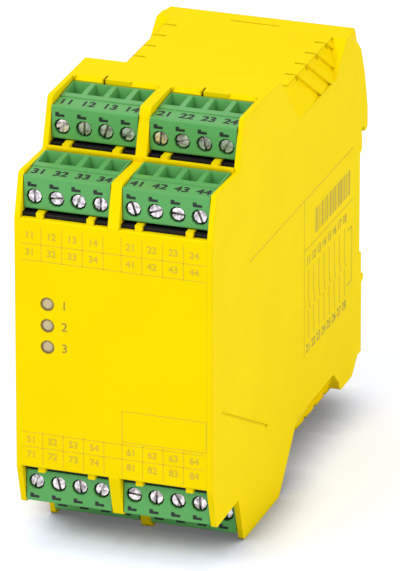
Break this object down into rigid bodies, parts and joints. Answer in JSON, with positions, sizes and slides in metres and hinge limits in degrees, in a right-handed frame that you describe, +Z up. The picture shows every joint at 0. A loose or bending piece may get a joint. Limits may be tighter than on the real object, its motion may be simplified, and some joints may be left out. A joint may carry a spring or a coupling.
{
  "type": "safety relay",
  "caption": "Safety relay module for a 35 mm mounting rail, with tiers of pull-off screw terminal plugs, status windows, a louvred rear roof and a sprung rail latch",
  "frame": {"origin": "middle of the footprint, at the lowest point of the lower rear terminal tier", "axes": "X across the width, Y from the front panel back to the rail, Z up along the front panel"},
  "size_m": [0.045, 0.1088, 0.099],
  "materials": {
    "housing": "fine satin mould texture",
    "cover": "fine satin mould texture",
    "latch": "satin",
    "spring_steel": "drawn wire",
    "plug": "satin",
    "header": "satin",
    "screw_steel": "zinc plated",
    "clamp_steel": "zinc plated",
    "pin_brass": "tin plated",
    "board": "solder mask",
    "relay_case": "satin",
    "chip": "matte",
    "suppressor": "dipped",
    "led": "clear",
    "can": "sleeved",
    "link": "satin",
    "window": "clear to milky"
  },
  "bodies": {
    "housing": {"housing_shell": "housing", "side_cover": "cover", "latch_spring": "spring_steel", "left_board": "board", "right_board": "board", "status_leds": "led", "logic_chips": "chip", "suppressors": "suppressor", "board_link": "link", "power_window": "window", "channel_1_window": "window", "channel_2_window": "window", "upper_capacitor": "can", "lower_capacitor": "can", "left_front_relay": "relay_case", "left_rear_relay": "relay_case", "right_front_relay": "relay_case", "right_rear_relay": "relay_case", "upper_front_left_header": "header", "upper_front_left_pins": "pin_brass", "upper_front_right_header": "header", "upper_front_right_pins": "pin_brass", "upper_rear_left_header": "header", "upper_rear_left_pins": "pin_brass", "upper_rear_right_header": "header", "upper_rear_right_pins": "pin_brass", "lower_front_left_header": "header", "lower_front_left_pins": "pin_brass", "lower_front_right_header": "header", "lower_front_right_pins": "pin_brass", "lower_rear_left_header": "header", "lower_rear_left_pins": "pin_brass", "lower_rear_right_header": "header", "lower_rear_right_pins": "pin_brass"},
    "latch": {"foot_latch": "latch"},
    "upper_front_left": {"upper_front_left_plug": "plug", "upper_front_left_screws": "screw_steel", "upper_front_left_clamps": "clamp_steel"},
    "upper_front_right": {"upper_front_right_plug": "plug", "upper_front_right_screws": "screw_steel", "upper_front_right_clamps": "clamp_steel"},
    "upper_rear_left": {"upper_rear_left_plug": "plug", "upper_rear_left_screws": "screw_steel", "upper_rear_left_clamps": "clamp_steel"},
    "upper_rear_right": {"upper_rear_right_plug": "plug", "upper_rear_right_screws": "screw_steel", "upper_rear_right_clamps": "clamp_steel"},
    "lower_front_left": {"lower_front_left_plug": "plug", "lower_front_left_screws": "screw_steel", "lower_front_left_clamps": "clamp_steel"},
    "lower_front_right": {"lower_front_right_plug": "plug", "lower_front_right_screws": "screw_steel", "lower_front_right_clamps": "clamp_steel"},
    "lower_rear_left": {"lower_rear_left_plug": "plug", "lower_rear_left_screws": "screw_steel", "lower_rear_left_clamps": "clamp_steel"},
    "lower_rear_right": {"lower_rear_right_plug": "plug", "lower_rear_right_screws": "screw_steel", "lower_rear_right_clamps": "clamp_steel"}
  },
  "joints": [
    {"name": "latch_slide", "type": "slide", "parent": "housing", "child": "latch", "axis": [0, 0, -1], "range_m": [0, 0.0035], "stiffness_N_per_m": 500, "springref_m": -0.004, "deforming": ["latch_spring"]},
    {"name": "upper_front_left_pull", "type": "slide", "parent": "housing", "child": "upper_front_left", "axis": [0, -1, 0], "range_m": [0, 0.024]},
    {"name": "upper_front_right_pull", "type": "slide", "parent": "housing", "child": "upper_front_right", "axis": [0, -1, 0], "range_m": [0, 0.024]},
    {"name": "upper_rear_left_pull", "type": "slide", "parent": "housing", "child": "upper_rear_left", "axis": [0, -1, 0], "range_m": [0, 0.024]},
    {"name": "upper_rear_right_pull", "type": "slide", "parent": "housing", "child": "upper_rear_right", "axis": [0, -1, 0], "range_m": [0, 0.024]},
    {"name": "lower_front_left_pull", "type": "slide", "parent": "housing", "child": "lower_front_left", "axis": [0, -1, 0], "range_m": [0, 0.024]},
    {"name": "lower_front_right_pull", "type": "slide", "parent": "housing", "child": "lower_front_right", "axis": [0, -1, 0], "range_m": [0, 0.024]},
    {"name": "lower_rear_left_pull", "type": "slide", "parent": "housing", "child": "lower_rear_left", "axis": [0, -1, 0], "range_m": [0, 0.024]},
    {"name": "lower_rear_right_pull", "type": "slide", "parent": "housing", "child": "lower_rear_right", "axis": [0, -1, 0], "range_m": [0, 0.024]}
  ]
}
